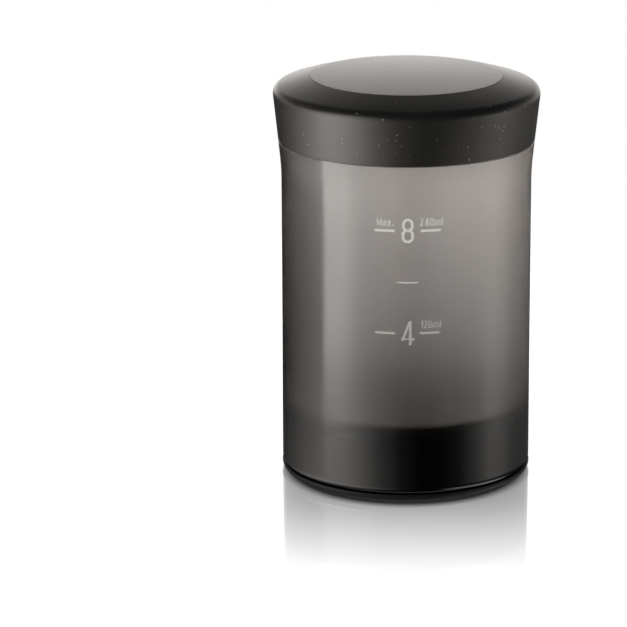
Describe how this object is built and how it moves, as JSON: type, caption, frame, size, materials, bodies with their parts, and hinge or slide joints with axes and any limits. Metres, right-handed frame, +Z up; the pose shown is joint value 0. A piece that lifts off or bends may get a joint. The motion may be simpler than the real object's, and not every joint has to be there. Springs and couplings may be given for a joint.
{
  "type": "portable press coffee brewer",
  "caption": "Portable press coffee brewer: frosted smoke chamber with level marks, soft foot ring, flared push-fit lid, and a flush press pad on a rod that drives a wiper-edged filter.",
  "frame": {"origin": "centre of the foot ring's underside, on the surface that the brewer stands on", "axes": "+Z is up along the brewer's centre line, -Y faces the side with the level marks, +X is to the right of those marks"},
  "size_m": [0.0806, 0.0806, 0.1237],
  "materials": {
    "smoke_plastic": "frosted, translucent",
    "speckled_plastic": "satin with fine pale specks",
    "pad_plastic": "satin",
    "black_plastic": "satin",
    "grey_plastic": "satin",
    "silicone": "matt",
    "foot_rubber": "satin",
    "steel": "brushed"
  },
  "bodies": {
    "vessel": {"chamber": "smoke_plastic", "base_cap": "black_plastic", "base_seal": "silicone", "foot_ring": "foot_rubber"},
    "lid": {"lid_shell": "speckled_plastic", "lid_liner": "black_plastic", "lid_gasket": "silicone", "rod_bush": "grey_plastic", "rod_seal": "silicone", "gland_nut": "grey_plastic"},
    "press": {"press_pad": "pad_plastic", "pad_hub": "grey_plastic", "pad_seal": "silicone", "press_rod": "steel", "filter_collar": "steel", "filter_top_plate": "steel", "filter_screen": "steel", "filter_low_plate": "steel", "filter_nut": "steel", "wiper_ring": "silicone"}
  },
  "joints": [
    {"name": "lid_lift", "type": "slide", "parent": "vessel", "child": "lid", "axis": [0, 0, 1], "range_m": [0, 0.105]},
    {"name": "press_slide", "type": "slide", "parent": "lid", "child": "press", "axis": [0, 0, 1], "range_m": [0, 0.08]}
  ]
}
